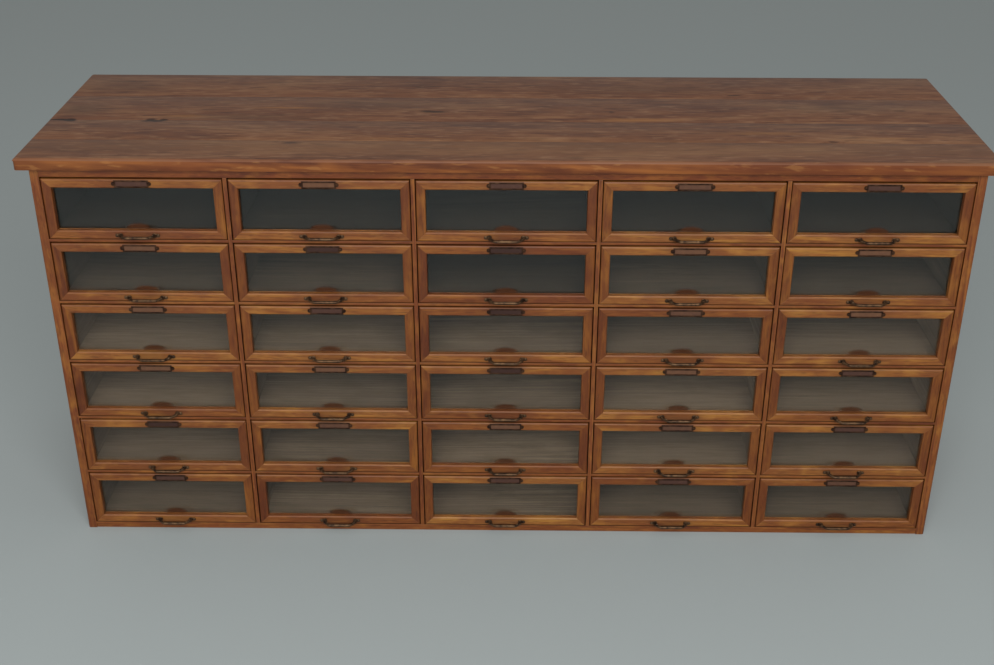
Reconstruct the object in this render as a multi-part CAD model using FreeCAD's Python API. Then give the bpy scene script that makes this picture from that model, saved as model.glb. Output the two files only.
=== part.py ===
import FreeCAD, Part
import os

# Haberdashery cabinet: a floor-standing oak shop counter with five columns of six glazed drawers.
# Sizes are in millimetres. X runs to the right, Y from front to back and Z up from the floor.
# The origin lies on the floor, at the middle of the carcass plan.

# Grid of drawers
column_count = 5
row_count = 6
cell_width = 391.0
cell_height = 144.0
divider_thickness = 9.0
shelf_thickness = 6.0

# Carcass
carcass_depth = 580.0
side_thickness = 20.0
side_arris_radius = 4.0
housing_depth = 4.0
housing_setback = 10.0
back_thickness = 8.0
back_rebate_width = 10.0
bottom_board_thickness = 6.0
base_rail_height = 11.3
base_rail_width = 45.0
base_rail_setback = 2.0
top_rail_height = 19.2
top_rail_thickness = 20.0
top_block_size = 18.0
top_block_length = 60.0

# Counter top, of boards glued edge to edge
top_thickness = 27.0
top_overhang_front = 12.0
top_overhang_side = 26.0
top_overhang_back = 5.0
top_arris_radius = 7.0
top_board_widths = [119.0, 132.0, 173.0]

# Mitred and glazed drawer front
front_side_gap = 2.2
front_bottom_gap = 1.0
front_top_gap = 4.6
member_width = 20.0
front_thickness = 21.0
outer_bevel_width = 2.5
outer_bevel_depth = 1.5
sight_bevel_width = 2.0
sight_bevel_depth = 1.5
glass_setback = 12.0
glass_rebate_width = 6.0
glass_thickness = 3.0
glass_edge_gap = 0.5

# Drawer box
drawer_length = 545.0
box_side_gap = 3.0
running_gap = 0.3
box_height = 118.0
box_wall_thickness = 10.0
box_bottom_thickness = 4.0
box_bottom_height = 6.0
box_groove_depth = 3.0

# Stops that hold the closed fronts flush with the carcass edges
stop_gap = 0.3
stop_width = 30.0
stop_height = 14.0
stop_length = 15.0

# Card holder on the top rail of each front
card_holder_length = 86.0
card_holder_height = 17.5
card_holder_thickness = 1.6
card_window_length = 58.0
card_window_height = 9.0
card_ear_length = 9.0
card_ear_height = 7.0

# Cast bow handle on the bottom rail of each front
post_spacing = 73.0
post_length = 8.0
foot_width = 15.0
foot_height = 11.0
foot_thickness = 2.5
foot_point = 4.0
foot_outset = 2.0
bar_thickness = 7.0
grip_length = 50.0
bow_reach = 20.0
bow_drop = 1.0
bend_length = 6.0

cut_margin = 1.0

# Places that follow from the sizes above
column_pitch = cell_width + divider_thickness
row_pitch = cell_height + shelf_thickness
grid_width = column_count * column_pitch - divider_thickness
carcass_width = grid_width + 2 * side_thickness
front_y = -carcass_depth / 2
back_y = carcass_depth / 2
back_board_y = back_y - back_thickness
halving_y = (front_y + back_board_y) / 2
grid_bottom_z = base_rail_height + bottom_board_thickness
grid_top_z = grid_bottom_z + row_count * row_pitch - shelf_thickness
carcass_top_z = grid_top_z + top_rail_height


def block(x, y, z):
    """A box from its low and high limits along each axis."""
    return Part.makeBox(x[1] - x[0], y[1] - y[0], z[1] - z[0], FreeCAD.Vector(x[0], y[0], z[0]))


def centred(middle, size):
    """The low and high limit of a length about its middle."""
    return (middle - size / 2, middle + size / 2)


def prism(points, direction):
    """A closed outline drawn out along a direction."""
    corners = [FreeCAD.Vector(*point) for point in points]
    return Part.Face(Part.makePolygon(corners + corners[:1])).extrude(FreeCAD.Vector(*direction))


def save(node, *solids):
    """Write one sub-part, of one or more solids."""
    shape = solids[0] if len(solids) == 1 else Part.makeCompound(list(solids))
    shape.exportStep(os.path.join("parts", node + ".step"))


def cell_x(column):
    """The middle of a column, counted from 1 at the left."""
    return (column - (column_count + 1) / 2) * column_pitch


def cell_z(row):
    """The surface that the drawers of a row run on, counted from 1 at the top."""
    return grid_bottom_z + (row_count - row) * row_pitch


def divider_x(number):
    """The middle of the divider to the right of a column."""
    return cell_x(number) + column_pitch / 2


def shelf_z(number):
    """The low and high face of the shelf under a row."""
    return (cell_z(number) - shelf_thickness, cell_z(number))


# Carcass boards

inner_x = centred(0, grid_width)
inner_y = (front_y, back_board_y)
bottom_board_z = (base_rail_height, grid_bottom_z)
top_rail_z = (grid_top_z, carcass_top_z)
front_rail_y = (front_y, front_y + top_rail_thickness)
back_rail_y = (back_board_y - top_rail_thickness, back_board_y)


def housed_board(z):
    """A level board that runs from side to side, its ends let into stopped housings in the sides."""
    board = block(centred(0, grid_width + 2 * housing_depth), inner_y, z)
    front_corner_y = (front_y, front_y + housing_setback)
    left_corner = block((inner_x[0] - housing_depth, inner_x[0]), front_corner_y, z)
    right_corner = block((inner_x[1], inner_x[1] + housing_depth), front_corner_y, z)
    return board.cut([left_corner, right_corner])


def make_shelf(number):
    """A shelf slotted from the front, where the dividers pass through it."""
    z = shelf_z(number)
    slot_y = (front_y, halving_y)
    slots = [block(centred(divider_x(i), divider_thickness), slot_y, z) for i in range(1, column_count)]
    return housed_board(z).cut(slots)


def make_divider(number):
    """An upright slotted from the back for the shelves, and notched round the two top rails."""
    x = centred(divider_x(number), divider_thickness)
    board = block(x, inner_y, (grid_bottom_z, carcass_top_z))
    slot_y = (halving_y, back_board_y)
    slots = [block(x, slot_y, shelf_z(row)) for row in range(1, row_count)]
    notches = [block(x, front_rail_y, top_rail_z), block(x, back_rail_y, top_rail_z)]
    return board.cut(slots + notches)


def make_side(hand):
    """An end panel: housed for the shelves, rebated for the back, its outer front arris rounded."""
    inner = hand * grid_width / 2
    outer = hand * carcass_width / 2
    panel = block(sorted((inner, outer)), (front_y, back_y), (0, carcass_top_z))
    arris = [edge for edge in panel.Edges if on_arris(edge, outer)]
    panel = panel.makeFillet(side_arris_radius, arris)
    housing_x = sorted((inner, inner + hand * housing_depth))
    housing_y = (front_y + housing_setback, back_board_y)
    levels = [shelf_z(row) for row in range(1, row_count)] + [bottom_board_z]
    housings = [block(housing_x, housing_y, z) for z in levels]
    rebate_x = sorted((inner, inner + hand * back_rebate_width))
    rebate = block(rebate_x, (back_board_y, back_y), (0, carcass_top_z))
    return panel.cut(housings + [rebate])


def on_arris(edge, x):
    """True for the upright edge at the front of an end panel's outer face."""
    box = edge.BoundBox
    flat = box.XLength < cut_margin and box.YLength < cut_margin
    return flat and abs(box.XMin - x) < cut_margin and abs(box.YMin - front_y) < cut_margin


save("side_left", make_side(-1))
save("side_right", make_side(1))
save("bottom_board", housed_board(bottom_board_z))

for number in range(1, row_count):
    save("shelf_%d" % number, make_shelf(number))

for number in range(1, column_count):
    save("divider_%d" % number, make_divider(number))

save("top_rail_front", block(inner_x, front_rail_y, top_rail_z))
save("top_rail_back", block(inner_x, back_rail_y, top_rail_z))

base_front_y = front_y + base_rail_setback
base_rail_places = {
    "front": (base_front_y, base_front_y + base_rail_width),
    "middle": centred(0, base_rail_width),
    "back": (back_board_y - base_rail_width, back_board_y),
}
for place, y in base_rail_places.items():
    save("base_rail_" + place, block(inner_x, y, (0, base_rail_height)))

# The back boards are nailed in the rebates of the sides and meet on the dividers.
back_edges = [inner_x[0] - back_rebate_width]
back_edges += [divider_x(i) for i in range(1, column_count)]
back_edges += [inner_x[1] + back_rebate_width]
for number in range(1, column_count + 1):
    x = (back_edges[number - 1], back_edges[number])
    save("back_board_%d" % number, block(x, (back_board_y, back_y), (0, carcass_top_z)))


def glue_block(x, y, towards):
    """A three-cornered block in the angle between a top rail and the counter top."""
    outline = [
        (x[0], y, carcass_top_z),
        (x[0], y + towards * top_block_size, carcass_top_z),
        (x[0], y, carcass_top_z - top_block_size),
    ]
    return prism(outline, (x[1] - x[0], 0, 0))


glue_blocks = []
for column in range(1, column_count + 1):
    block_x = centred(cell_x(column), top_block_length)
    glue_blocks.append(glue_block(block_x, front_rail_y[1], 1))
    glue_blocks.append(glue_block(block_x, back_rail_y[0], -1))
save("top_glue_blocks", *glue_blocks)

# Counter top

top_x = centred(0, carcass_width + 2 * top_overhang_side)
top_z = (carcass_top_z, carcass_top_z + top_thickness)
top_edges = [front_y - top_overhang_front]
for width in top_board_widths:
    top_edges.append(top_edges[-1] + width)
top_edges.append(back_y + top_overhang_back)


def make_top_board(y):
    """A board of the counter top, its upper arris rounded at the ends and along the front."""
    board = block(top_x, y, top_z)
    upper = [edge for edge in board.Edges if edge.BoundBox.ZMin > top_z[1] - cut_margin]
    ends = [edge for edge in upper if edge.BoundBox.XLength < cut_margin]
    front = [edge for edge in upper if edge.BoundBox.YMax < top_edges[0] + cut_margin]
    return board.makeFillet(top_arris_radius, ends + front)


for number in range(1, len(top_edges)):
    save("top_board_%d" % number, make_top_board((top_edges[number - 1], top_edges[number])))

# Drawer, drawn with its face at Y 0, the middle of its cell at X 0 and the shelf under it at Z 0

front_width = cell_width - 2 * front_side_gap
front_height = cell_height - front_bottom_gap - front_top_gap
front_z = (front_bottom_gap, front_bottom_gap + front_height)
box_z = (running_gap, running_gap + box_height)
box_x = centred(0, cell_width - 2 * box_side_gap)
box_inner_x = (box_x[0] + box_wall_thickness, box_x[1] - box_wall_thickness)
rebate_edge = member_width - glass_rebate_width
glass_back = glass_setback + glass_thickness

# Both outlines give the distance inwards from the edge of the front and the depth behind its face.
member_outline = [
    (0, outer_bevel_depth),
    (outer_bevel_width, 0),
    (member_width - sight_bevel_width, 0),
    (member_width, sight_bevel_depth),
    (member_width, glass_setback),
    (rebate_edge, glass_setback),
    (rebate_edge, front_thickness),
    (0, front_thickness),
]
bead_outline = [
    (rebate_edge, glass_back),
    (member_width, glass_back),
    (rebate_edge, front_thickness),
]


def mitred_piece(outline, length):
    """A moulded length along X, cut at 45 degrees from both ends of its outer edge."""
    reach = max(inward for inward, depth in outline)
    moulding = prism([(0, depth, inward) for inward, depth in outline], (length, 0, 0))
    y = -cut_margin
    mitre = [(0, y, 0), (length, y, 0), (length - reach, y, reach), (reach, y, reach)]
    return moulding.common(prism(mitre, (0, front_thickness + 2 * cut_margin, 0)))


def mitred_ring(outline):
    """Four mitred pieces round the drawer front: bottom, right, top and left."""
    left = -front_width / 2
    right = front_width / 2
    sides = [
        (front_width, (left, front_z[0]), 0),
        (front_height, (right, front_z[0]), -90),
        (front_width, (right, front_z[1]), 180),
        (front_height, (left, front_z[1]), 90),
    ]
    pieces = []
    for length, corner, turn in sides:
        piece = mitred_piece(outline, length)
        piece.rotate(FreeCAD.Vector(0, 0, 0), FreeCAD.Vector(0, 1, 0), turn)
        piece.translate(FreeCAD.Vector(corner[0], 0, corner[1]))
        pieces.append(piece)
    return pieces


def make_glass():
    """The pane, bedded on the front of the rebate."""
    inset = rebate_edge + glass_edge_gap
    x = centred(0, front_width - 2 * inset)
    return block(x, (glass_setback, glass_back), (front_z[0] + inset, front_z[1] - inset))


def make_box():
    """Two grooved sides, the back between them and the bottom slid into the grooves."""
    y = (front_thickness, drawer_length)
    floor_z = (box_z[0] + box_bottom_height, box_z[0] + box_bottom_height + box_bottom_thickness)
    bottom_x = (box_inner_x[0] - box_groove_depth, box_inner_x[1] + box_groove_depth)
    bottom = block(bottom_x, y, floor_z)
    left = block((box_x[0], box_inner_x[0]), y, box_z).cut(bottom)
    right = block((box_inner_x[1], box_x[1]), y, box_z).cut(bottom)
    back_wall_y = (drawer_length - box_wall_thickness, drawer_length)
    back = block(box_inner_x, back_wall_y, (floor_z[1], box_z[1]))
    return [left, right, back, bottom]


def make_card_holder():
    """A flat frame with an open window and a tapered ear at each end."""
    middle_z = front_z[1] - member_width / 2
    ear_x = card_holder_length / 2
    body_x = ear_x - card_ear_length
    body_z = card_holder_height / 2
    ear_z = card_ear_height / 2
    right = [(body_x, body_z), (ear_x, ear_z), (ear_x, -ear_z), (body_x, -body_z)]
    outline = right + [(-x, -z) for x, z in right]
    plate = prism([(x, 0, middle_z + z) for x, z in outline], (0, -card_holder_thickness, 0))
    window_z = centred(middle_z, card_window_height)
    window = block(centred(0, card_window_length), (-card_holder_thickness, 0), window_z)
    return plate.cut(window)


def make_handle():
    """A level bow of six-sided bar between two posts on six-sided feet."""
    z = front_z[0] + member_width / 2
    post_x = post_spacing / 2
    shoulder = FreeCAD.Vector(post_x, -post_length, z)
    corner = FreeCAD.Vector(grip_length / 2, -bow_reach, z - bow_drop)
    arm = (shoulder - corner).normalize()
    half = [
        FreeCAD.Vector(post_x, -foot_thickness / 2, z),
        shoulder,
        corner + arm * bend_length,
        corner - FreeCAD.Vector(bend_length, 0, 0),
    ]
    path = half + [FreeCAD.Vector(-point.x, point.y, point.z) for point in reversed(half)]
    section = Part.makePolygon(hexagon(half[0]))
    handle = Part.makePolygon(path).makePipeShell([section], True, False, 1)
    feet = [make_foot(hand * (post_x + foot_outset), z) for hand in (-1, 1)]
    return handle.fuse(feet).removeSplitter()


def hexagon(middle):
    """The closed section of the bar, across the end of its path."""
    flat = bar_thickness / 2
    corner = bar_thickness / 3 ** 0.5
    points = [(corner, 0), (corner / 2, flat), (-corner / 2, flat)]
    points += [(-x, -z) for x, z in points]
    return [middle + FreeCAD.Vector(x, 0, z) for x, z in points + points[:1]]


def make_foot(x, z):
    """A six-sided oblong foot, standing on the face of the bottom rail."""
    wide = foot_width / 2
    high = foot_height / 2
    outline = [(wide, 0), (wide - foot_point, high), (foot_point - wide, high)]
    outline += [(-px, -pz) for px, pz in outline]
    return prism([(x + px, 0, z + pz) for px, pz in outline], (0, -foot_thickness, 0))


drawer = mitred_ring(member_outline) + [make_glass()] + mitred_ring(bead_outline)
drawer += make_box() + [make_card_holder(), make_handle()]

stops = []
for row in range(1, row_count + 1):
    for column in range(1, column_count + 1):
        place = FreeCAD.Vector(cell_x(column), front_y, cell_z(row))
        save("drawer_r%d_c%d" % (row, column), *[piece.translated(place) for piece in drawer])
        stop_y = front_y + drawer_length + stop_gap
        stop_z = (cell_z(row), cell_z(row) + stop_height)
        stops.append(block(centred(place.x, stop_width), (stop_y, stop_y + stop_length), stop_z))
save("drawer_stops", *stops)
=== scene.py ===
import math
import random

import bmesh
import bpy
from mathutils import Matrix, Vector


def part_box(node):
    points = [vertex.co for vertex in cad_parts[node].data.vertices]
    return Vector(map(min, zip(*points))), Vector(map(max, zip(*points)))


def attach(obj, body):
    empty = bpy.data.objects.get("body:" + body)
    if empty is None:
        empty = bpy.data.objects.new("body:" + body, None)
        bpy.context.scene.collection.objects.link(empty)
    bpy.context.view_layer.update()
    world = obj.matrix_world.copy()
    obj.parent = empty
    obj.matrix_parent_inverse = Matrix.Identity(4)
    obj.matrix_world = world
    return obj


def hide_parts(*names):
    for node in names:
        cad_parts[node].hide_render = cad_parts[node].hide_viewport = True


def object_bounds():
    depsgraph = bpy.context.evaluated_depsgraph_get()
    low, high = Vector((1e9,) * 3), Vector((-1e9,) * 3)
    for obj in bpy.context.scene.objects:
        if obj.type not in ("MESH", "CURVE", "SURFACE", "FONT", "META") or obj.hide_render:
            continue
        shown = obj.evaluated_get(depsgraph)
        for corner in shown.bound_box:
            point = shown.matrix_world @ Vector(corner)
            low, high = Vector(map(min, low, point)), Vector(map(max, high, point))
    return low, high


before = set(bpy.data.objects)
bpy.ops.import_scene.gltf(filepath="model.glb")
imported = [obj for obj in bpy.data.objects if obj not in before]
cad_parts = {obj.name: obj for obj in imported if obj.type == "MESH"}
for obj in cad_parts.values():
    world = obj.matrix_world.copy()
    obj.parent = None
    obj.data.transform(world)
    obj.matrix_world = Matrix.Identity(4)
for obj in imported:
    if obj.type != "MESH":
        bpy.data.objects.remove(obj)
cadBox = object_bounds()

mm = 0.001  # every size below is in millimetres
dice = random.Random(1902)
rowCount = 6
columnCount = 5
columnPitch = 400


# sRGB hex to the linear colour that a socket wants
def linearColour(hexText, alpha=1.0):
    parts = [int(hexText[i:i + 2], 16) / 255 for i in (1, 3, 5)]
    linear = [c / 12.92 if c <= 0.04045 else ((c + 0.055) / 1.055) ** 2.4 for c in parts]
    return (*linear, alpha)


# adds one node: keyword settings, then values or links for its inputs, then the stops of a colour ramp
def addNode(tree, kind, inputs=None, stops=None, **settings):
    node = tree.nodes.new(kind)
    for name, value in settings.items():
        setattr(node, name, value)
    for key, value in (inputs or {}).items():
        if isinstance(value, bpy.types.NodeSocket):
            tree.links.new(value, node.inputs[key])
        else:
            node.inputs[key].default_value = value
    if stops:
        elements = node.color_ramp.elements
        while len(elements) < len(stops):
            elements.new(0.5)
        for element, (position, colour) in zip(elements, stops):
            element.position = position
            element.color = linearColour(colour)
    return node


def newMaterial(name):
    material = bpy.data.materials.new(name)
    material.use_nodes = True
    return material, material.node_tree, material.node_tree.nodes["Principled BSDF"]


# Materials

# Old oak under wax: growth rings cut into arches and straight bands, short dark pores and pale flecks,
# reddish stains, painted shade in the gaps and recesses between the parts and pale arrises where hands do.
# Pores and flecks are drawn coarser than real ones, or the render wouldn't show them.
frontOak = {
    "rings": [(0.30, "#6E3C14"), (0.50, "#8B5523"), (0.70, "#A5722E")],
    # size along, across and into the wood, and how rough the noise is
    "patterns": {"figure": (420, 70, 5, 3), "streaks": (110, 4, 4, 3), "pores": (28, 3, 3, 1),
                 "flecks": (18, 4, 4, 1), "stains": (95, 60, 60, 2), "clouds": (45, 30, 30, 2)},
    # what each layer follows, where it starts and where it is full, its strength and colour
    "layers": [("clouds", 0.46, 0.72, 0.5, "#AC7A38"), ("stains", 0.42, 0.62, 0.75, "#79441F"),
               ("flecks", 0.58, 0.72, 0.2, "#B5843F"), ("pores", 0.56, 0.68, 0.4, "#4A260F")],
    "tones": [(0.0, "#C8AC9C"), (0.5, "#E7DDD8"), (1.0, "#F4F3F0")],
    # the colour of worn arrises, and of the painted shade in gaps and recesses
    "worn": "#B98A62", "paintedShade": "#2A1005",
    # how wide the bowl of a ring is, how it leans along the board and how far a tone moves it, in metres
    "bowlMm": 130, "lean": 0.03, "ringShift": 3.7,
    # darker round the fittings in the middle of each column: its colour, strength, and how far from the
    # middle it is full and where it ends
    "darkMiddle": {"colour": "#4A2712", "strength": 0.5, "fullMm": 26, "endMm": 78},
    "roughness": (0.42, 0.6), "bumpMm": 0.1, "bumpStrength": 0.6, "gloss": 0.35, "wander": 0.3,
    # how much the fine streaks change the rings, and a lining's dust and painted light, paler from front to
    # back
    "streaky": 0.4, "dustAndLightToBack": None,
}
stileLook = dict(frontOak, tones=[(0.0, "#A98668"), (0.5, "#C6AE92"), (1.0, "#D4C4A8")], darkMiddle=None)
carcassOak = dict(frontOak, rings=[(0.30, "#63321A"), (0.50, "#804824"), (0.70, "#986032")], worn="#A67A58",
                  tones=[(0.0, "#C29C6C"), (0.5, "#E0D0B0"), (1.0, "#F4EBD2")], darkMiddle=None)
backOak = dict(frontOak, rings=[(0.30, "#5C4531"), (0.50, "#745A41"), (0.70, "#8C7253")], worn="#8A7658",
               layers=[("stains", 0.44, 0.66, 0.6, "#5E4630"), ("flecks", 0.60, 0.70, 0.35, "#94805C"),
                       ("pores", 0.56, 0.66, 0.5, "#2E2115")],
               paintedShade="#241A10", darkMiddle=None, roughness=(0.7, 0.85), gloss=0.25)
liningOak = dict(backOak, rings=[(0.30, "#645045"), (0.50, "#7A6354"), (0.70, "#8F7864")],
                 layers=[("stains", 0.44, 0.66, 0.5, "#63503F"), ("pores", 0.56, 0.66, 0.3, "#3C332A")],
                 tones=[(0.0, "#5E5E5E"), (0.5, "#BEBEBE"), (1.0, "#FFFFFF")], worn="#8C8070", streaky=0.12,
                 # dust and painted light: the lining grows paler from the front towards the back: where it
                 # starts and is full, and both levels
                 dustAndLightToBack=(-269, -130, 0.74, 1.55))
counterOak = dict(frontOak, rings=[(0.30, "#5B2D11"), (0.50, "#75411B"), (0.70, "#905625")],
                  patterns={"figure": (380, 110, 16, 3), "streaks": (85, 9, 9, 4),
                            "pores": (60, 7, 7, 2), "flecks": (44, 9, 9, 2),
                            "stains": (240, 110, 110, 2), "clouds": (120, 60, 60, 2)},
                  layers=[("clouds", 0.48, 0.72, 0.4, "#A8692E"), ("stains", 0.44, 0.66, 0.5, "#743C1C"),
                          ("flecks", 0.60, 0.70, 0.3, "#B68248")],
                  bowlMm=110, darkMiddle=None, roughness=(0.5, 0.68), worn="#3A241A", streaky=0.65)

# The counter top: oak greyer on its upper face, partly dried and partly a painted sheen, with knots, splits
# and stains, and rubbed pale along its front arris
counterMarks = {
    # the upper face: dried wood with a painted sheen
    "dryAndSheen": [(0.24, "#613F2F"), (0.50, "#785139"), (0.76, "#8E6B4D")], "dryAndSheenStrength": 0.92,
    "pore": "#382018", "ray": "#A07F62", "arris": "#80583E", "arrisStrength": 0.85,
    "dark": "#2E1B12", "tan": "#9A6C3C", "shade": "#3F302A",
    # the size of the noise that moves the outlines, and how far it moves them in metres
    "wanderMm": 24, "wanderBy": 0.012,
    # x, y, half length, half width and strength
    "knots": [(-808, -46, 16, 8, 0.9), (-170, 18, 38, 10, 0.85), (-470, -197, 16, 5, 0.7),
              (711, -174, 14, 5, 0.6), (540, 150, 20, 7, 0.6), (905, 40, 16, 6, 0.5)],
    "splits": [(-1012, -51, 34, 8, 1.0), (-994, -53, 18, 11, 1.0), (-802, -57, 32, 6, 1.0),
               (-780, -48, 12, 8, 0.9)],
    "streaks": [(-192, 212, 62, 3.5, 0.8), (-84, 205, 30, 3.5, 0.7), (-560, 236, 40, 4, 0.5),
                (640, 60, 45, 4, 0.5), (240, 21, 7, 10, 0.5), (60, 222, 34, 3, 0.5), (390, -95, 60, 3, 0.45),
                (-930, 238, 60, 5, 0.6)],
    "pale": [(-512, 42, 95, 7, 0.7), (290, -34, 110, 14, 0.6), (-240, -164, 150, 5, 0.45),
             (-860, -226, 130, 5, 0.4), (560, -120, 120, 10, 0.45), (850, -150, 90, 6, 0.4),
             (-742, -20, 58, 11, 0.4), (0, -222, 1500, 62, 0.3)],
    "shades": [(-985, 20, 70, 50, 0.5), (-600, -30, 190, 24, 0.45), (-930, 190, 120, 60, 0.35),
               (-300, 60, 160, 40, 0.3), (330, 190, 220, 40, 0.3), (780, 60, 160, 40, 0.3)],
    # how far the rings rise round a knot, and how many times its size the rise reaches
    "bulgeMm": 22, "bulgeReach": 3.2,
}


# a mask of the listed oval marks: full within low times a mark's outline and none beyond high times
def markMask(tree, place, marks, low, high):
    total = None
    for x, y, halfLength, halfWidth, strength in marks:
        scale = (1 / (halfLength * mm), 1 / (halfWidth * mm), 0)
        shift = (-x / halfLength, -y / halfWidth, 0)
        local = addNode(tree, "ShaderNodeMapping", {"Vector": place, "Location": shift, "Scale": scale})
        reach = addNode(tree, "ShaderNodeVectorMath", {0: local.outputs["Vector"]}, operation="LENGTH")
        mask = addNode(tree, "ShaderNodeMapRange", {"Value": reach.outputs["Value"], "From Min": high,
                                                    "From Max": low, "To Max": strength},
                       interpolation_type="SMOOTHSTEP").outputs["Result"]
        if total:
            mask = addNode(tree, "ShaderNodeMath", {0: total, 1: mask}, operation="MAXIMUM").outputs["Value"]
        total = mask
    return total


# the layers that only the counter top has, as pairs of mask and colour
def counterLayers(tree, place, level, arris, noises):
    facing = addNode(tree, "ShaderNodeTexCoord").outputs["Normal"]
    upward = addNode(tree, "ShaderNodeSeparateXYZ", {"Vector": facing}).outputs["Z"]
    # wandering the places a little keeps the marks from looking drawn
    by = counterMarks["wanderBy"]
    wander = addNode(tree, "ShaderNodeTexNoise", {"Vector": place, "Detail": 2,
                                                  "Scale": 1 / (counterMarks["wanderMm"] * mm)})
    step = addNode(tree, "ShaderNodeVectorMath", {0: wander.outputs["Color"], 1: (0.5, 0.5, 0.5)},
                   operation="SUBTRACT")
    away = addNode(tree, "ShaderNodeVectorMath", {0: step.outputs["Vector"], 1: (by, by, 0), 2: place},
                   operation="MULTIPLY_ADD").outputs["Vector"]
    # the upper face's colour: dried wood with a painted sheen, greyer than the front
    dryAndSheenColour = addNode(tree, "ShaderNodeValToRGB", {"Fac": level}, counterMarks["dryAndSheen"]).outputs["Color"]
    masks = {}
    for name, value, low, high, strength in (
            ("dryAndSheen", upward, 0.7, 0.97, counterMarks["dryAndSheenStrength"]), ("rising", upward, 0.12, 0.4, 1),
            ("falling", upward, 0.99, 0.86, 1), ("pores", noises["pores"], 0.53, 0.66, 0.5),
            ("rays", noises["flecks"], 0.54, 0.68, 0.45)):
        limits = {"Value": value, "From Min": low, "From Max": high, "To Max": strength}
        masks[name] = addNode(tree, "ShaderNodeMapRange", limits).outputs["Result"]
    band = level
    unjointed = addNode(tree, "ShaderNodeMath", {0: 1, 1: arris}, operation="SUBTRACT").outputs["Value"]
    for part in (masks["rising"], masks["falling"], unjointed):
        band = addNode(tree, "ShaderNodeMath", {0: band, 1: part}, operation="MULTIPLY").outputs["Value"]
    rub = addNode(tree, "ShaderNodeMapRange", {"Value": band, "From Min": 0.1, "From Max": 0.6,
                                               "To Max": counterMarks["arrisStrength"]})
    for name, cover in (("rays", "ray"), ("pores", "pore")):
        speckled = addNode(tree, "ShaderNodeMixRGB", {"Fac": masks[name], "Color1": dryAndSheenColour,
                                                   "Color2": linearColour(counterMarks[cover])})
        dryAndSheenColour = speckled.outputs["Color"]
    layers = [(masks["dryAndSheen"], dryAndSheenColour)]
    for marks, inner, outer, cover in (("shades", 0.0, 1.5, "shade"), ("pale", 0.2, 1.3, "tan"),
                                       ("streaks", 0.3, 1.2, "dark"), ("knots", 0.45, 1.15, "dark"),
                                       ("splits", 0.6, 1.1, "dark")):
        mask = markMask(tree, away, counterMarks[marks], inner, outer)
        layers.append((mask, linearColour(counterMarks[cover])))
    return layers + [(rub.outputs["Result"], linearColour(counterMarks["arris"]))]


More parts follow.
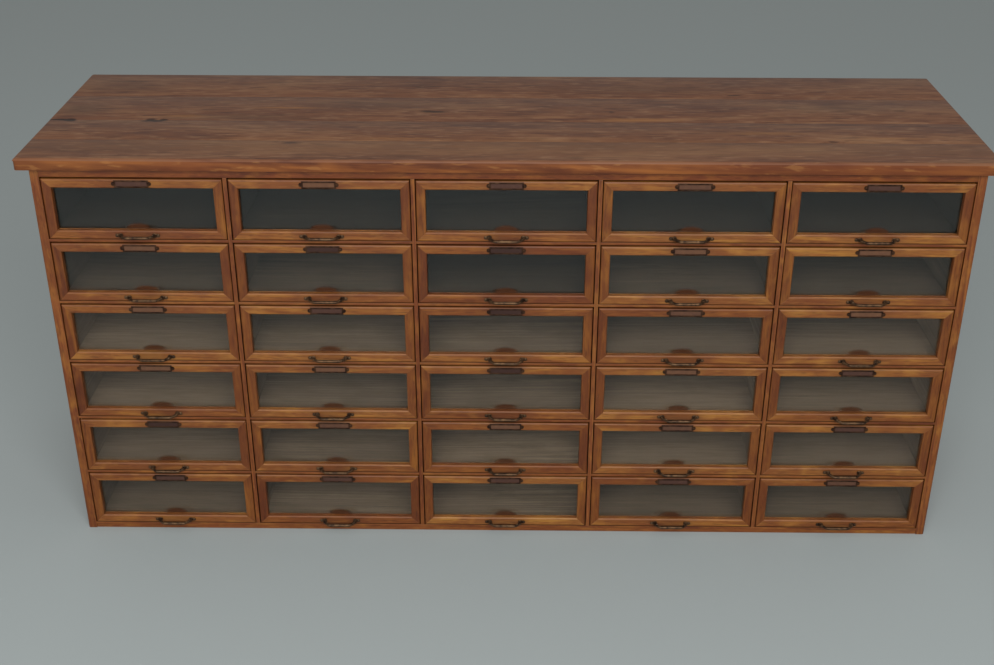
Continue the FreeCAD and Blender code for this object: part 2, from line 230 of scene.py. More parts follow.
# axes says which way the wood grows, which way runs across the board and which way into it
def makeOak(name, axes, look, isCounter=False):
    material, tree, surface = newMaterial(name)
    place = addNode(tree, "ShaderNodeTexCoord").outputs["Object"]
    parts = addNode(tree, "ShaderNodeSeparateXYZ", {"Vector": place})
    along, across, into = (parts.outputs[axis] for axis in axes)
    tone, pith, arris, paintedShade = (addNode(tree, "ShaderNodeAttribute", attribute_name=layer).outputs["Fac"]
                               for layer in ("tone", "pith", "arris", "paintedShade"))
    # a growth ring is a bowl round the pith: its depth in the board falls off with the square of the offset
    offset = addNode(tree, "ShaderNodeMath", {0: across, 1: pith}, operation="SUBTRACT").outputs["Value"]
    square = addNode(tree, "ShaderNodeMath", {0: offset, 1: offset}, operation="MULTIPLY").outputs["Value"]
    depth = into
    slopes = [(square, 0.5 / (look["bowlMm"] * mm)), (along, look["lean"]), (tone, look["ringShift"])]
    if isCounter:  # the grain runs round a knot as if the wood rose there
        rise = markMask(tree, place, counterMarks["knots"], 0, counterMarks["bulgeReach"])
        slopes.append((rise, counterMarks["bulgeMm"] * mm))
    for value, slope in slopes:
        depth = addNode(tree, "ShaderNodeMath", {0: value, 1: slope, 2: depth},
                        operation="MULTIPLY_ADD").outputs["Value"]
    grown = addNode(tree, "ShaderNodeCombineXYZ", {"X": along, "Y": across, "Z": depth}).outputs["Vector"]
    noises = {}
    for pattern, (*sizeMm, detail) in look["patterns"].items():
        scale = [1 / (size * mm) for size in sizeMm]
        drawn = addNode(tree, "ShaderNodeMapping", {"Vector": grown, "Scale": scale}).outputs["Vector"]
        noise = addNode(tree, "ShaderNodeTexNoise", {"Vector": drawn, "Scale": 1, "Detail": detail,
                                                     "Distortion": look["wander"]})
        noises[pattern] = noise.outputs["Fac"]
    # level runs through the rings and streaks of the wood, about 0.5 in the middle
    banded = addNode(tree, "ShaderNodeMath", {0: noises["streaks"], 1: look["streaky"], 2: noises["figure"]},
                     operation="MULTIPLY_ADD").outputs["Value"]
    level = addNode(tree, "ShaderNodeMath", {0: banded, 1: look["streaky"] / 2},
                    operation="SUBTRACT").outputs["Value"]
    layers = []
    for pattern, low, high, strength, cover in look["layers"]:
        mask = addNode(tree, "ShaderNodeMapRange", {"Value": noises[pattern], "From Min": low,
                                                    "From Max": high, "To Max": strength})
        layers.append((mask.outputs["Result"], linearColour(cover)))
    if isCounter:
        layers += counterLayers(tree, place, level, arris, noises)
    darkMiddle = look["darkMiddle"]
    if darkMiddle:  # darker round the fittings in the middle of each column
        wave = addNode(tree, "ShaderNodeMath", {0: parts.outputs["X"], 1: columnPitch / 2 * mm},
                       operation="PINGPONG").outputs["Value"]
        near = addNode(tree, "ShaderNodeMapRange", {"Value": wave, "From Min": darkMiddle["endMm"] * mm,
                                                    "From Max": darkMiddle["fullMm"] * mm,
                                                    "To Max": darkMiddle["strength"]}).outputs["Result"]
        uneven = addNode(tree, "ShaderNodeMath", {0: near, 1: noises["clouds"]}, operation="MULTIPLY")
        layers.append((uneven.outputs["Value"], linearColour(darkMiddle["colour"])))
    rubbed = addNode(tree, "ShaderNodeMath", {0: arris, 1: level}, operation="MULTIPLY").outputs["Value"]
    # worn arrises, then painted shade on the faces in the gaps and recesses
    layers += [(rubbed, linearColour(look["worn"])), (paintedShade, linearColour(look["paintedShade"]))]
    colour = addNode(tree, "ShaderNodeValToRGB", {"Fac": level}, look["rings"]).outputs["Color"]
    for mask, cover in layers:
        mixed = addNode(tree, "ShaderNodeMixRGB", {"Fac": mask, "Color1": colour, "Color2": cover})
        colour = mixed.outputs["Color"]
    # each board has its own tone, from dark and reddish to pale; in a lining it is the row's dust and painted
    # shade, and in the rail under the counter top it is painted shade
    toned = addNode(tree, "ShaderNodeValToRGB", {"Fac": tone}, look["tones"]).outputs["Color"]
    colour = addNode(tree, "ShaderNodeMixRGB", {"Fac": 1, "Color1": colour, "Color2": toned},
                     blend_type="MULTIPLY").outputs["Color"]
    # dust and painted light: the lining grows paler from the front towards the back
    if look["dustAndLightToBack"]:
        near, far, dim, bright = look["dustAndLightToBack"]
        dustAndLight = addNode(tree, "ShaderNodeMapRange", {"Value": parts.outputs["Y"], "From Min": near * mm,
                                                    "From Max": far * mm, "To Min": dim, "To Max": bright})
        colour = addNode(tree, "ShaderNodeVectorMath", {0: colour, 1: dustAndLight.outputs["Result"]},
                         operation="MULTIPLY").outputs["Vector"]
    tree.links.new(colour, surface.inputs["Base Color"])
    low, high = look["roughness"]
    rough = addNode(tree, "ShaderNodeMapRange", {"Value": noises["streaks"], "To Min": low, "To Max": high})
    tree.links.new(rough.outputs["Result"], surface.inputs["Roughness"])
    surface.inputs["Specular IOR Level"].default_value = look["gloss"]
    hollow = addNode(tree, "ShaderNodeMath", {0: noises["streaks"], 1: noises["pores"]}, operation="SUBTRACT")
    bump = addNode(tree, "ShaderNodeBump", {"Strength": look["bumpStrength"], "Distance": look["bumpMm"] * mm,
                                            "Height": hollow.outputs["Value"]})
    tree.links.new(bump.outputs["Normal"], surface.inputs["Normal"])
    return material


railOak = makeOak("waxed_oak_rail", "XZY", frontOak)
stileOak = makeOak("waxed_oak_stile", "ZXY", stileLook)
levelOak = makeOak("waxed_oak_carcass_level", "XZY", carcassOak)
uprightOak = makeOak("waxed_oak_carcass_upright", "ZYX", carcassOak)
rawOak = makeOak("sawn_oak_back", "ZXY", backOak)
liningLong = makeOak("planed_oak_lining_long", "YZX", liningOak)
liningWide = makeOak("planed_oak_lining_wide", "XYZ", liningOak)
topOak = makeOak("dried_oak_counter", "XYZ", counterOak, True)


# Old drawn window glass, a little green and not quite flat, in which the room shows faintly. A brown lens
# shows above each handle, taken for the bow's own reflection: it is a painted reflection, laid on the pane as
# a dull brown layer.
glassPaint = {
    "tint": "#E6EAE6", "index": 1.38, "rippleMm": 60, "rippleDepthMm": 0.5, "rippleStrength": 0.05,
    # the painted reflection is a lens that rises from the lower sight edge, which lies at sightMm in the
    # lowest row
    "paintedReflection": "#4A2C1C", "reflectionStrength": 0.65, "reflectionHalfMm": 27, "reflectionRiseMm": 13,
    "sightMm": 38.3, "rowPitch": 150, "reflectionFull": 0.6, "reflectionEnd": 1.2,
}


def makeGlass():
    material, tree, surface = newMaterial("old_window_glass")
    tint = linearColour(glassPaint["tint"])
    surface.inputs["Base Color"].default_value = tint
    surface.inputs["Transmission Weight"].default_value = 1.0
    surface.inputs["Roughness"].default_value = 0.0
    surface.inputs["IOR"].default_value = glassPaint["index"]
    place = addNode(tree, "ShaderNodeTexCoord").outputs["Object"]
    ripple = addNode(tree, "ShaderNodeTexNoise", {"Vector": place, "Scale": 1 / (glassPaint["rippleMm"] * mm),
                                                  "Detail": 1})
    bump = addNode(tree, "ShaderNodeBump", {"Strength": glassPaint["rippleStrength"],
                                            "Distance": glassPaint["rippleDepthMm"] * mm,
                                            "Height": ripple.outputs["Fac"]})
    tree.links.new(bump.outputs["Normal"], surface.inputs["Normal"])
    parts = addNode(tree, "ShaderNodeSeparateXYZ", {"Vector": place}).outputs
    aside = addNode(tree, "ShaderNodeMath", {0: parts["X"], 1: columnPitch / 2 * mm}, operation="PINGPONG")
    lifted = addNode(tree, "ShaderNodeMath", {0: parts["Z"], 1: glassPaint["sightMm"] * mm},
                     operation="SUBTRACT")
    above = addNode(tree, "ShaderNodeMath", {0: lifted.outputs["Value"], 1: glassPaint["rowPitch"] * mm},
                    operation="MODULO")
    local = addNode(tree, "ShaderNodeCombineXYZ", {"X": aside.outputs["Value"], "Y": above.outputs["Value"]})
    lens = (0, 0, glassPaint["reflectionHalfMm"], glassPaint["reflectionRiseMm"], glassPaint["reflectionStrength"])
    paintedReflection = markMask(tree, local.outputs["Vector"], [lens], glassPaint["reflectionFull"], glassPaint["reflectionEnd"])
    # the painted reflection: a dull brown layer mixed into the pane where the lens lies
    reflectionShader = addNode(tree, "ShaderNodeBsdfDiffuse", {"Color": linearColour(glassPaint["paintedReflection"])})
    pane = addNode(tree, "ShaderNodeMixShader", {0: paintedReflection, 1: surface.outputs["BSDF"], 2: reflectionShader.outputs["BSDF"]})
    # light from the lamps passes straight through a thin pane
    clear = addNode(tree, "ShaderNodeBsdfTransparent", {"Color": tint})
    lamps = addNode(tree, "ShaderNodeLightPath").outputs["Is Shadow Ray"]
    both = addNode(tree, "ShaderNodeMixShader", {0: lamps, 1: pane.outputs["Shader"],
                                                 2: clear.outputs["BSDF"]})
    tree.links.new(both.outputs["Shader"], tree.nodes["Material Output"].inputs["Surface"])
    return material


# Cast or pressed bronze gone brown under old wax, rubbed brighter in blotches and finely pitted
bronzePaint = {"blotchMm": 9, "pitMm": 1.6, "pitDepthMm": 0.1, "pitStrength": 0.3, "metallic": 0.85,
               "roughness": (0.38, 0.58)}


def makeBronze(name, dark, bright):
    material, tree, surface = newMaterial(name)
    place = addNode(tree, "ShaderNodeTexCoord").outputs["Object"]
    blotches = addNode(tree, "ShaderNodeTexNoise", {"Vector": place, "Detail": 3,
                                                    "Scale": 1 / (bronzePaint["blotchMm"] * mm)})
    colour = addNode(tree, "ShaderNodeValToRGB", {"Fac": blotches.outputs["Fac"]},
                     [(0.35, dark), (0.7, bright)])
    tree.links.new(colour.outputs["Color"], surface.inputs["Base Color"])
    surface.inputs["Metallic"].default_value = bronzePaint["metallic"]
    low, high = bronzePaint["roughness"]
    rough = addNode(tree, "ShaderNodeMapRange", {"Value": blotches.outputs["Fac"], "To Min": low,
                                                 "To Max": high})
    tree.links.new(rough.outputs["Result"], surface.inputs["Roughness"])
    pits = addNode(tree, "ShaderNodeTexNoise", {"Vector": place, "Detail": 2,
                                                "Scale": 1 / (bronzePaint["pitMm"] * mm)})
    bump = addNode(tree, "ShaderNodeBump", {"Strength": bronzePaint["pitStrength"],
                                            "Distance": bronzePaint["pitDepthMm"] * mm,
                                            "Height": pits.outputs["Fac"]})
    tree.links.new(bump.outputs["Normal"], surface.inputs["Normal"])
    return material


# Bare pasteboard in the window of a card holder, from stained plum to faded buff, dull and mottled
cardPaint = {"tones": [(0.2, "#33201B"), (0.6, "#462E26"), (0.95, "#664631")], "mottleMm": 7, "mottle": 0.3,
             "roughness": 0.8, "gloss": 0.25}


def makeCard():
    material, tree, surface = newMaterial("bare_pasteboard")
    place = addNode(tree, "ShaderNodeTexCoord").outputs["Object"]
    tone = addNode(tree, "ShaderNodeAttribute", attribute_name="tone").outputs["Fac"]
    mottle = addNode(tree, "ShaderNodeTexNoise", {"Vector": place, "Detail": 3,
                                                  "Scale": 1 / (cardPaint["mottleMm"] * mm)})
    value = addNode(tree, "ShaderNodeMath", {0: mottle.outputs["Fac"], 1: cardPaint["mottle"], 2: tone},
                    operation="MULTIPLY_ADD")
    colour = addNode(tree, "ShaderNodeValToRGB", {"Fac": value.outputs["Value"]}, cardPaint["tones"])
    tree.links.new(colour.outputs["Color"], surface.inputs["Base Color"])
    surface.inputs["Roughness"].default_value = cardPaint["roughness"]
    surface.inputs["Specular IOR Level"].default_value = cardPaint["gloss"]
    return material


glassLook = makeGlass()
handleBronze = makeBronze("cast_bronze", "#30221A", "#74583E")
holderBronze = makeBronze("pressed_bronze", "#2C1A12", "#553A28")
cardLook = makeCard()
print("materials made")

# Shared mesh steps


# a bmesh with the per-face values that the materials read: tone of the piece, where its pith lies in metres,
# how rubbed a face is and how much painted shade it gets
def openMesh(source=None):
    bm = bmesh.new()
    if source:
        bm.from_mesh(source)
    for layerName in ("tone", "pith", "arris", "paintedShade"):
        if not bm.faces.layers.float.get(layerName):
            bm.faces.layers.float.new(layerName)
    return bm


def setFaces(bm, layerName, value, faces=None):
    layer = bm.faces.layers.float[layerName]
    for face in faces if faces is not None else bm.faces:
        face[layer] = value


# hands rub an upper arris most and never an under one: wear of an upright face, and how much facing up adds
wearUpright = 0.3
wearRise = 0.7


def newPiece(name, bm, materials, body, node, smoothDegrees=None):
    bmesh.ops.recalc_face_normals(bm, faces=bm.faces[:])
    arris = bm.faces.layers.float["arris"]
    for face in bm.faces:
        face[arris] *= min(max(wearUpright + wearRise * face.normal.z, 0), 1)
    mesh = bpy.data.meshes.new(name)
    bm.to_mesh(mesh)
    bm.free()
    for material in materials:
        mesh.materials.append(material)
    if smoothDegrees:
        for polygon in mesh.polygons:
            polygon.use_smooth = True
        mesh.set_sharp_from_angle(angle=math.radians(smoothDegrees))
    piece = bpy.data.objects.new(name, mesh)
    bpy.context.scene.collection.objects.link(piece)
    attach(piece, body)
    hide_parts(node)
    return piece


sharpDegrees = 30


# rounds every sharp edge and marks the new faces as arris
def softenEdges(bm, widthMm, segments=2):
    sharp = [e for e in bm.edges
             if len(e.link_faces) == 2 and e.calc_face_angle() > math.radians(sharpDegrees)]
    made = bmesh.ops.bevel(bm, geom=sharp, offset=widthMm * mm, offset_type="OFFSET", affect="EDGES",
                           segments=segments, profile=0.5, material=-1, clamp_overlap=True)
    setFaces(bm, "arris", 1.0, made["faces"])


def addBoard(bm, low, high, materialIndex=0):
    made = bmesh.ops.create_cube(bm, size=1)
    size = [(b - a) * mm for a, b in zip(low, high)]
    middle = [(a + b) / 2 * mm for a, b in zip(low, high)]
    bmesh.ops.scale(bm, verts=made["verts"], vec=size)
    bmesh.ops.translate(bm, verts=made["verts"], vec=middle)
    for face in {f for v in made["verts"] for f in v.link_faces}:
        face.material_index = materialIndex


# Carcass and counter top: each CAD board, merged from a copy and given soft arrises

# across says which way the board's width runs, the faces inside the case, seen only in the gaps between the
# parts, are given painted shade, and tone is the range that each board's own tone is drawn from
boardLooks = {
    "side": {"material": uprightOak, "arrisMm": 0.8, "slot": "oak_carcass", "across": 1},
    "divider": {"material": uprightOak, "arrisMm": 0.7, "slot": "oak_carcass", "across": 1, "paintedShade": 0.65},
    "shelf": {"material": levelOak, "arrisMm": 0.6, "slot": "oak_carcass", "across": 2, "paintedShade": 0.65},
    "bottom": {"material": levelOak, "arrisMm": 0.6, "slot": "oak_carcass", "across": 2, "paintedShade": 0.65},
    "base": {"material": levelOak, "arrisMm": 1.0, "slot": "oak_carcass", "across": 2},
    # the rail under the counter top: its dark tone is painted shade under the counter's overhang, and its
    # hidden faces get painted shade too
    "top_rail": {"material": levelOak, "arrisMm": 1.2, "slot": "oak_carcass", "across": 2, "tone": (0, 0.2),
                 "paintedShade": 0.9},
    "top_board": {"material": topOak, "arrisMm": 0.4, "slot": "oak_top", "across": 1, "tone": (0.42, 0.68),
                  "smooth": 35, "cornerMm": 6},
    "top_glue": {"material": liningWide, "arrisMm": 0.5, "slot": "oak_inner", "across": 1},
    "back": {"material": rawOak, "arrisMm": 0.8, "slot": "oak_inner", "across": 0},
    "drawer_stops": {"material": liningWide, "arrisMm": 0.5, "slot": "oak_inner", "across": 1},
}
boardTone = (0.3, 0.8)
pithAside = (20, 90)  # how far to one side of a board's middle its pith lies
# the arches of the grain stand where the photograph shows them on the counter
topPiths = {"top_board_1": -226, "top_board_2": -160, "top_board_3": 46, "top_board_4": 232}
cornerReach = 13  # an upright edge this near the counter's front or back is one of its corners
# the triangles of a CAD board are welded, and merged where they turn by less than flatDegrees
weldMm = 0.01
flatDegrees = 1


def softBoard(node, look):
    bm = openMesh(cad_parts[node].data)
    bmesh.ops.remove_doubles(bm, verts=bm.verts[:], dist=weldMm * mm)
    bmesh.ops.dissolve_limit(bm, angle_limit=math.radians(flatDegrees), verts=bm.verts[:], edges=bm.edges[:])
    if look.get("cornerMm"):  # the corners of the counter are rubbed round
        low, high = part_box(node)
        ends = [e for e in bm.edges if abs(e.verts[0].co.z - e.verts[1].co.z) > 10 * mm
                and abs(abs(e.verts[0].co.x) - high.x) < mm
                and min(abs(e.verts[0].co.y - end.y) for end in cadBox) < cornerReach * mm]
        bmesh.ops.bevel(bm, geom=ends, offset=look["cornerMm"] * mm, offset_type="OFFSET", affect="EDGES",
                        segments=4, profile=0.5, material=-1, clamp_overlap=True)
    # painted shade on the faces inside the case, seen only in the gaps
    if look.get("paintedShade"):
        setFaces(bm, "paintedShade", look["paintedShade"], [f for f in bm.faces if abs(f.normal.y) < 0.5])
    softenEdges(bm, look["arrisMm"])
    low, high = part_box(node)
    middle = (low[look["across"]] + high[look["across"]]) / 2 / mm
    pith = topPiths.get(node, middle + dice.uniform(*pithAside) * dice.choice((-1, 1)))
    setFaces(bm, "pith", pith * mm)
    setFaces(bm, "tone", dice.uniform(*look.get("tone", boardTone)))
    newPiece("board_" + node, bm, [look["material"]], "carcass", node, look.get("smooth"))


for node in sorted(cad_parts):
    for start, look in boardLooks.items():
        if node.startswith(start):
            softBoard(node, look)
print("carcass boards made")

# Drawer fronts

frontShape = {
    "bottomGap": 0.6, "arris": 0.5, "mitreGap": 0.08,
    # the arrises within outerArris of the edge are less worn, and the outer edges, in the gaps between
    # drawers, and the inner ledges before the glass get painted shade
    "outerArris": 5, "outerWear": 0.4, "edgeShade": 0.9, "ledgeShade": 0.6,
    "tone": (0.2, 0.8), "toneSpread": 0.2, "pithAside": (25, 75),
    # distance in from the edge of the front, depth behind its face
    "member": [(0, 1.5), (2.5, 0), (18, 0), (20, 1.5), (20, 12), (14, 12), (14, 21), (0, 21)],
    "bead": [(14, 15), (20, 15), (14, 21)],
}


# a moulded length along X, mitred at both ends, then turned and set at its corner
def addMoulding(bm, outline, length, materialIndex, turn, corner, tone, pith):
    part = openMesh()
    gap = frontShape["mitreGap"]
    end = part.faces.new([part.verts.new((0, depth * mm, inward * mm)) for inward, depth in outline])
    drawn = bmesh.ops.extrude_face_region(part, geom=[end])
    far = [v for v in drawn["geom"] if isinstance(v, bmesh.types.BMVert)]
    bmesh.ops.translate(part, verts=far, vec=(length * mm, 0, 0))
    for x, lean in ((gap, 1), (length - gap, -1)):
        cut = bmesh.ops.bisect_plane(part, geom=part.verts[:] + part.edges[:] + part.faces[:],
                                     plane_co=(x * mm, 0, 0), plane_no=(-lean, 0, 1), clear_outer=True)
        rim = [e for e in cut["geom_cut"] if isinstance(e, bmesh.types.BMEdge)]
        bmesh.ops.edgeloop_fill(part, edges=rim)
    bmesh.ops.recalc_face_normals(part, faces=part.faces[:])
    part.normal_update()
    outer = [f for f in part.faces if f.normal.z < -0.9]
    ledge = [f for f in part.faces if f.normal.z > 0.9]
    softenEdges(part, frontShape["arris"])
    worn = part.faces.layers.float["arris"]
    for f in part.faces:  # the outer arris is held less than the sight edge
        if f.calc_center_median().z < frontShape["outerArris"] * mm:
            f[worn] *= frontShape["outerWear"]
    # painted shade on the outer edges in the gaps and on the inner ledges
    setFaces(part, "paintedShade", frontShape["edgeShade"], [f for f in outer if f.is_valid])
    setFaces(part, "paintedShade", frontShape["ledgeShade"], [f for f in ledge if f.is_valid])
    setFaces(part, "tone", tone)
    setFaces(part, "pith", pith * mm)
    for face in part.faces:
        face.material_index = materialIndex
    place = Matrix.Translation(Vector(corner) * mm) @ Matrix.Rotation(math.radians(turn), 4, "Y")
    bmesh.ops.transform(part, matrix=place, verts=part.verts[:])
    mesh = bpy.data.meshes.new("moulding")
    part.to_mesh(mesh)
    part.free()
    bm.from_mesh(mesh)
    bpy.data.meshes.remove(mesh)


def makeFront(name, body, middle, width, low, high):
    bm = openMesh()
    x, y = middle
    left, right = x - width / 2, x + width / 2
    height = high - low
    # length, first corner, turn, material and edge of the front: rails are 0 and stiles are 1
    sides = [(width, (left, y, low), 0, 0, low), (height, (right, y, low), -90, 1, right),
             (width, (right, y, high), 180, 0, high), (height, (left, y, high), 90, 1, left)]
    drawerTone = dice.uniform(*frontShape["tone"])
    spread = frontShape["toneSpread"]
    for length, corner, turn, materialIndex, edge in sides:
        tone = min(max(drawerTone + dice.uniform(-spread, spread), 0), 1)
        pith = edge + dice.uniform(*frontShape["pithAside"]) * dice.choice((-1, 1))
        addMoulding(bm, frontShape["member"], length, materialIndex, turn, corner, tone, pith)
        addMoulding(bm, frontShape["bead"], length, materialIndex, turn, corner, tone, pith)
    newPiece(name, bm, [railOak, stileOak], body, body)


glassShape = {"setback": 12, "thickness": 3, "inset": 14.5, "arris": 0.4}


def makePane(name, body, middle, width, low, high):
    bm = openMesh()
    x, y = middle
    inset = glassShape["inset"]
    front = y + glassShape["setback"]
    addBoard(bm, (x - width / 2 + inset, front, low + inset),
             (x + width / 2 - inset, front + glassShape["thickness"], high - inset))
    softenEdges(bm, glassShape["arris"])
    newPiece(name, bm, [glassLook], body, body)


boxShape = {"running": 0.3, "height": 118, "wall": 10, "bottom": 4, "bottomHeight": 6, "length": 545,
            "frontThickness": 21, "arris": 0.8, "pithAside": 60}


def makeBox(name, body, middle, width, floor, dustAndLight):
    bm = openMesh()
    x, y = middle
    s = boxShape
    half = width / 2
    inner = half - s["wall"]
    low = floor + s["running"]
    high = low + s["height"]
    bottom = low + s["bottomHeight"]
    lid = bottom + s["bottom"]
    front = y + s["frontThickness"]
    back = y + s["length"]
    for hand in (-1, 1):
        near, far = sorted((hand * inner, hand * half))
        addBoard(bm, (x + near, front, low), (x + far, back, high))
    addBoard(bm, (x - inner, back - s["wall"], lid), (x + inner, back, high), 1)
    softenEdges(bm, s["arris"])
    addBoard(bm, (x - inner, front, bottom), (x + inner, back, lid), 1)
    # the lining's tone is its row's dust and painted shade
    setFaces(bm, "tone", dustAndLight)
    setFaces(bm, "pith", (x + dice.uniform(-s["pithAside"], s["pithAside"])) * mm)
    newPiece(name, bm, [liningLong, liningWide], body, body)


# Card holders

holderShape = {"width": 74, "height": 17, "rim": 3.5, "thickness": 1.5, "arris": 0.5, "cardThickness": 0.4,
               "earRadius": 4.8, "earTaper": 0.9, "earX": 38.2, "earThickness": 1.2,
               "screwRadius": 2.3, "screwRise": 1.1, "cardTones": (0.1, 0.45, 0.6, 0.7)}


def makeHolder(name, body, middle, level):
    bm = openMesh()
    s = holderShape
    made = bmesh.ops.create_grid(bm, x_segments=1, y_segments=1, size=0.5)
    bmesh.ops.scale(bm, verts=made["verts"], vec=(s["width"] * mm, s["height"] * mm, 1))
    bmesh.ops.inset_region(bm, faces=bm.faces[:], thickness=s["rim"] * mm, use_boundary=True,
                           use_even_offset=True)
    window = min(bm.faces, key=lambda f: f.calc_center_median().length)
    bmesh.ops.delete(bm, geom=[window], context="FACES")
    drawn = bmesh.ops.extrude_face_region(bm, geom=bm.faces[:])
    risen = [v for v in drawn["geom"] if isinstance(v, bmesh.types.BMVert)]
    bmesh.ops.translate(bm, verts=risen, vec=(0, 0, s["thickness"] * mm))
    softenEdges(bm, s["arris"])
    for hand in (-1, 1):
        ear = bmesh.ops.create_cone(bm, cap_ends=True, segments=20, radius1=s["earRadius"] * mm,
                                    radius2=s["earRadius"] * s["earTaper"] * mm,
                                    depth=s["earThickness"] * mm)
        bmesh.ops.translate(bm, verts=ear["verts"],
                            vec=(hand * s["earX"] * mm, 0, s["earThickness"] / 2 * mm))
        screw = bmesh.ops.create_uvsphere(bm, u_segments=14, v_segments=8, radius=mm)
        bmesh.ops.scale(bm, verts=screw["verts"], vec=(s["screwRadius"], s["screwRadius"], s["screwRise"]))
        bmesh.ops.translate(bm, verts=screw["verts"], vec=(hand * s["earX"] * mm, 0, s["earThickness"] * mm))
    plate = (s["width"] - s["rim"]) / 2
    tall = (s["height"] - s["rim"]) / 2
    addBoard(bm, (-plate, -tall, 0), (plate, tall, s["cardThickness"]), 1)
    upright = Matrix.Rotation(math.radians(90), 4, "X")
    stand = Matrix.Translation(Vector((middle[0], middle[1], level)) * mm) @ upright
    bmesh.ops.transform(bm, matrix=stand, verts=bm.verts[:])
    setFaces(bm, "tone", dice.choice(s["cardTones"]))
    newPiece(name, bm, [holderBronze, cardLook], body, body, 35)


# Bow handles

handleShape = {
    # half of the bow, from its post to the middle of the grip: sideways, forward, down, radius
    "bow": [(36.5, 1.5, 0, 4.3), (36.5, 7, 0, 4.1), (35.6, 9.5, 0.1, 3.5), (28.5, 17, 0.8, 3.1),
            (25, 20, 1, 3.3), (19, 20, 1, 3.5), (8, 20, 1, 3.5)],
    # the two lobes of each foot: sideways, radius along and radius up
    "lobes": [(37, 5.6, 5.4), (44.2, 4.4, 4.3)], "footThickness": 2.5, "footArris": 0.8,
    "screwX": 44.6, "screwRadius": 2.5, "screwRise": 1.3,
    "ballX": 36.5, "ballY": 5, "ballRadius": 4.6, "ballRise": 3.68,
    "bent": (-0.12, 0.05),
}


def bowMesh():
    half = handleShape["bow"]
    points = half + [(-x, y, z, r) for x, y, z, r in reversed(half)]
    curve = bpy.data.curves.new("bow", "CURVE")
    curve.dimensions = "3D"
    curve.bevel_depth = mm
    curve.bevel_resolution = 4
    curve.use_fill_caps = True
    spline = curve.splines.new("NURBS")
    spline.points.add(len(points) - 1)
    for point, (x, y, z, radius) in zip(spline.points, points):
        point.co = (x * mm, -y * mm, -z * mm, 1)
        point.radius = radius
    spline.order_u = 3
    spline.use_endpoint_u = True
    spline.resolution_u = 4
    holder = bpy.data.objects.new("bow", curve)
    mesh = bpy.data.meshes.new_from_object(holder)
    bpy.data.objects.remove(holder)
    return mesh


handleBow = bowMesh()


def makeHandle(name, body, middle, level):
    bm = openMesh()
    s = handleShape
    for hand in (-1, 1):
        for x, radiusAlong, radiusUp in s["lobes"]:
            foot = bmesh.ops.create_cone(bm, cap_ends=True, segments=24, radius1=1, radius2=1, depth=1)
            bmesh.ops.scale(bm, verts=foot["verts"],
                            vec=(radiusAlong * mm, radiusUp * mm, s["footThickness"] * mm))
            bmesh.ops.translate(bm, verts=foot["verts"], vec=(hand * x * mm, 0, s["footThickness"] / 2 * mm))
    softenEdges(bm, s["footArris"])
    for hand in (-1, 1):
        for x, out, radius, rise in ((s["screwX"], s["footThickness"], s["screwRadius"], s["screwRise"]),
                                     (s["ballX"], s["ballY"], s["ballRadius"], s["ballRise"])):
            knob = bmesh.ops.create_uvsphere(bm, u_segments=16, v_segments=10, radius=mm)
            bmesh.ops.scale(bm, verts=knob["verts"], vec=(radius, radius, rise))
            bmesh.ops.translate(bm, verts=knob["verts"], vec=(hand * x * mm, 0, out * mm))
    bmesh.ops.rotate(bm, verts=bm.verts[:], cent=(0, 0, 0), matrix=Matrix.Rotation(math.radians(90), 3, "X"))
    fixed = len(bm.verts)
    bm.from_mesh(handleBow)
    bm.verts.ensure_lookup_table()
    bent = dice.uniform(*s["bent"])  # a century of pulling has bent each bow a little
    for vert in bm.verts[fixed:]:
        vert.co.z += vert.co.y * bent
    bmesh.ops.translate(bm, verts=bm.verts[:], vec=Vector((middle[0], middle[1], level)) * mm)
    newPiece(name, bm, [handleBronze], body, body, 50)


# how pale the lining of each row is, from the top row down: dust and painted shade, darkest in the top row;
# and two drawers that are darker than their row
dustAndLightByRow = [0.03, 0.42, 0.9, 1.0, 1.0, 0.82]
darkDrawers = [(2, 3), (1, 1)]
darkShare = 0.35
dustSpread = (0.8, 1.1)
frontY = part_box("divider_1")[0].y / mm
memberWidth = max(inward for inward, depth in frontShape["member"])
for row in range(1, rowCount + 1):
    floorNode = "shelf_%d" % row if row < rowCount else "bottom_board"
    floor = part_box(floorNode)[1].z / mm
    for column in range(1, columnCount + 1):
        body = "drawer_r%d_c%d" % (row, column)
        tag = "_r%d_c%d" % (row, column)
        low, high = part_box(body)
        width = (high.x - low.x) / mm
        middle = ((high.x + low.x) / 2 / mm, frontY)
        bottom = floor + frontShape["bottomGap"]
        top = high.z / mm
        makeFront("front" + tag, body, middle, width, bottom, top)
        makePane("pane" + tag, body, middle, width, bottom, top)
        share = darkShare if (row, column) in darkDrawers else dice.uniform(*dustSpread)
        dustAndLight = dustAndLightByRow[row - 1] * share
        makeBox("box" + tag, body, middle, width, floor, dustAndLight)
        makeHolder("holder" + tag, body, middle, top - memberWidth / 2)
        makeHandle("handle" + tag, body, middle, bottom + memberWidth / 2)
print("drawers made")

# Floor, light and camera

# a plain painted floor, pale and dull, under an even studio sky
stageLook = {"floor": "#A0A8A8", "floorHalf": 14, "floorRoughness": 0.9, "world": "#DEDEDC",
             "worldStrength": 0.55}
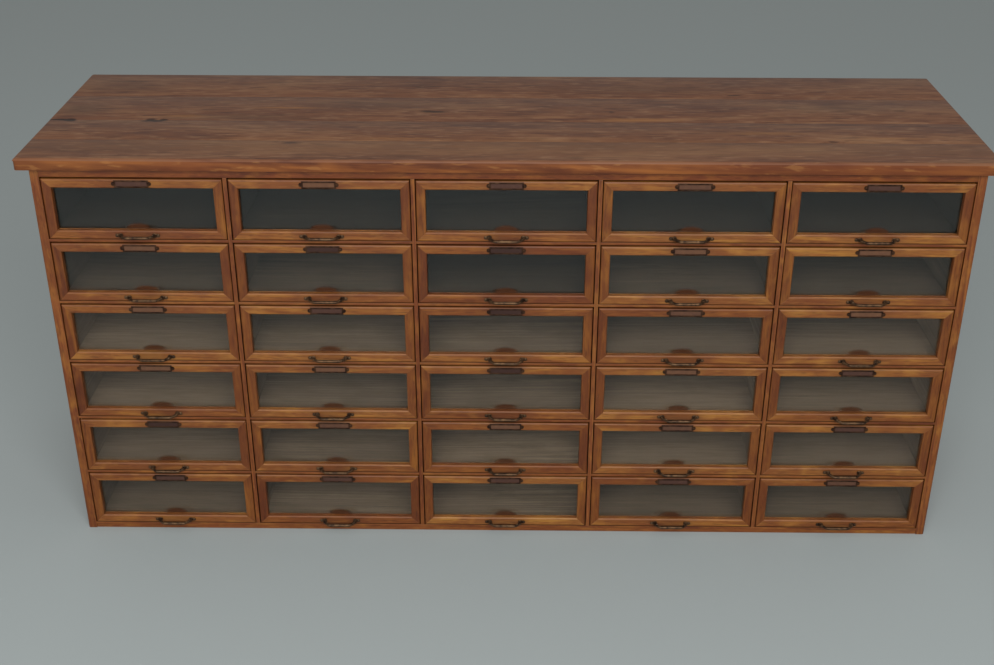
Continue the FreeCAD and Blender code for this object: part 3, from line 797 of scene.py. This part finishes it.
# place and size in metres and power in watts, each aimed at the middle of the cabinet
softboxes = {"key": ((0.4, -4.4, 3.6), (4.0, 2.2), 205), "fill": ((-1.6, -4.8, 1.9), (2.6, 1.4), 55)}

floorMesh = bmesh.new()
bmesh.ops.create_grid(floorMesh, x_segments=1, y_segments=1, size=stageLook["floorHalf"])
mesh = bpy.data.meshes.new("floor")
floorMesh.to_mesh(mesh)
floorMesh.free()
floorPiece = bpy.data.objects.new("floor", mesh)
bpy.context.scene.collection.objects.link(floorPiece)
floorPaint, _, floorSurface = newMaterial("painted_floor")
floorSurface.inputs["Base Color"].default_value = linearColour(stageLook["floor"])
floorSurface.inputs["Roughness"].default_value = stageLook["floorRoughness"]
mesh.materials.append(floorPaint)

world = bpy.data.worlds.new("studio")
bpy.context.scene.world = world
world.use_nodes = True
sky = world.node_tree.nodes["Background"]
sky.inputs["Color"].default_value = linearColour(stageLook["world"])
sky.inputs["Strength"].default_value = stageLook["worldStrength"]

for name, (spot, size, watts) in softboxes.items():
    lamp = bpy.data.lights.new(name, "AREA")
    lamp.energy = watts
    lamp.shape = "RECTANGLE"
    lamp.size, lamp.size_y = size
    stand = bpy.data.objects.new(name, lamp)
    stand.location = spot
    stand.rotation_euler = (Vector((0, 0, 0.5)) - stand.location).to_track_quat("-Z", "Y").to_euler()
    bpy.context.scene.collection.objects.link(stand)

# the place of the camera in millimetres, its angles in degrees and its lens
cameraPlace = {"at": (12.8, -2954.9, 1947.1), "down": 27.742, "turn": 0.704, "roll": 0.071, "lens": 48.57}
cameraData = bpy.data.cameras.new("camera")
cameraData.sensor_width = 36
cameraData.lens = cameraPlace["lens"]
camera = bpy.data.objects.new("camera", cameraData)
camera.location = Vector(cameraPlace["at"]) * mm
turned = Matrix.Rotation(math.radians(cameraPlace["turn"]), 3, "Z")
tilted = Matrix.Rotation(math.radians(90 - cameraPlace["down"]), 3, "X")
rolled = Matrix.Rotation(math.radians(cameraPlace["roll"]), 3, "Z")
camera.rotation_euler = (turned @ tilted @ rolled).to_euler()
bpy.context.scene.collection.objects.link(camera)
bpy.context.scene.camera = camera
bpy.context.scene.view_settings.view_transform = "Standard"
print("stage set")
